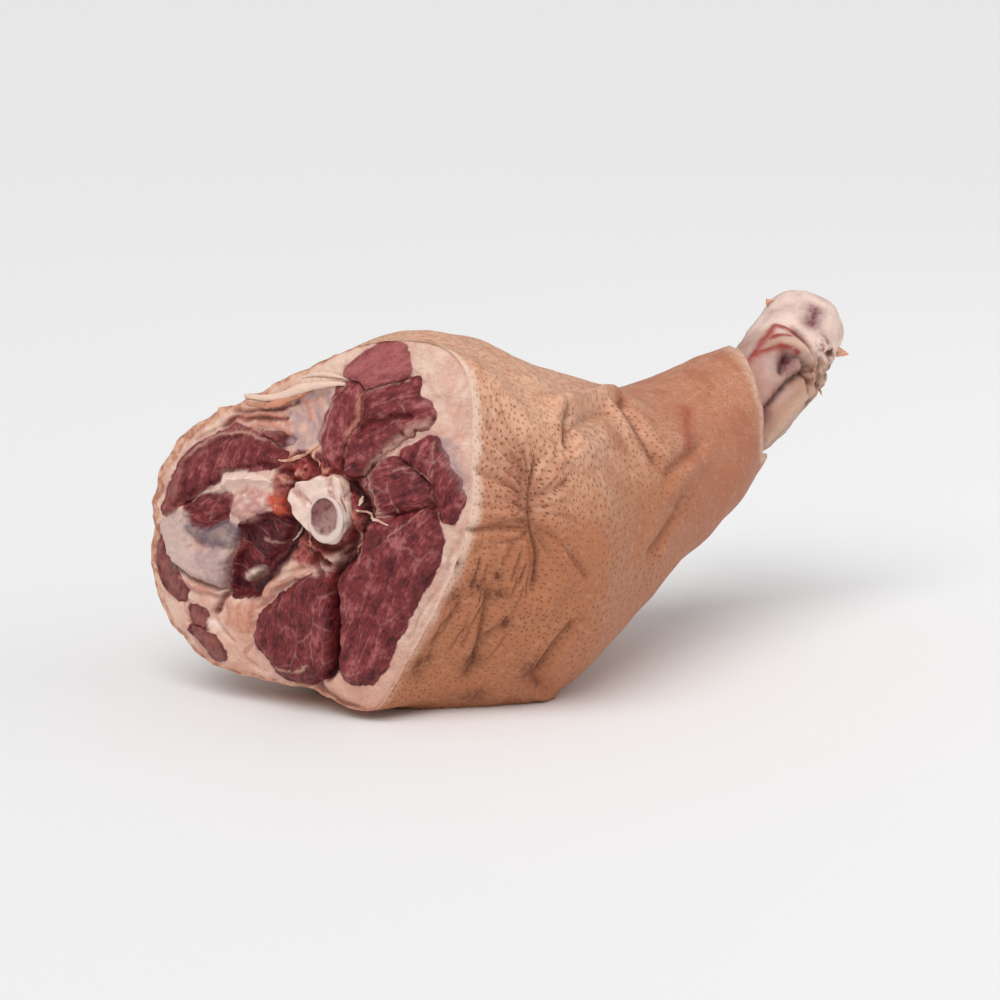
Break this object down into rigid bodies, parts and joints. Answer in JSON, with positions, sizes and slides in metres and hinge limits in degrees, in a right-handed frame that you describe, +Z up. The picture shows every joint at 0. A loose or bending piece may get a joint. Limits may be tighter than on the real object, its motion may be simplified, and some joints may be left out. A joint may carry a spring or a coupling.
{
  "type": "raw pork leg",
  "caption": "Raw bone-in leg of pork lying on its side, with rind, fat layer, sawn butt face with its bone, and a bared shank bone.",
  "frame": {"origin": "on the table, under the middle of the leg's bounding box", "axes": "+X along the leg from the sawn butt face to the shank bone, -Y the flank with the crease, +Z up"},
  "size_m": [0.5002, 0.2295, 0.2299],
  "materials": {
    "fat_and_rind": "moist rind with pores over cream fat",
    "lean": "moist dark red lean with pale seams",
    "aitch_bone": "sawn wet bone",
    "shank_bone": "bared bone with tendon and tissue"
  },
  "bodies": {
    "root": {"fat_and_rind": "fat_and_rind", "lean": "lean", "aitch_bone": "aitch_bone", "shank_bone": "shank_bone"}
  },
  "joints": []
}
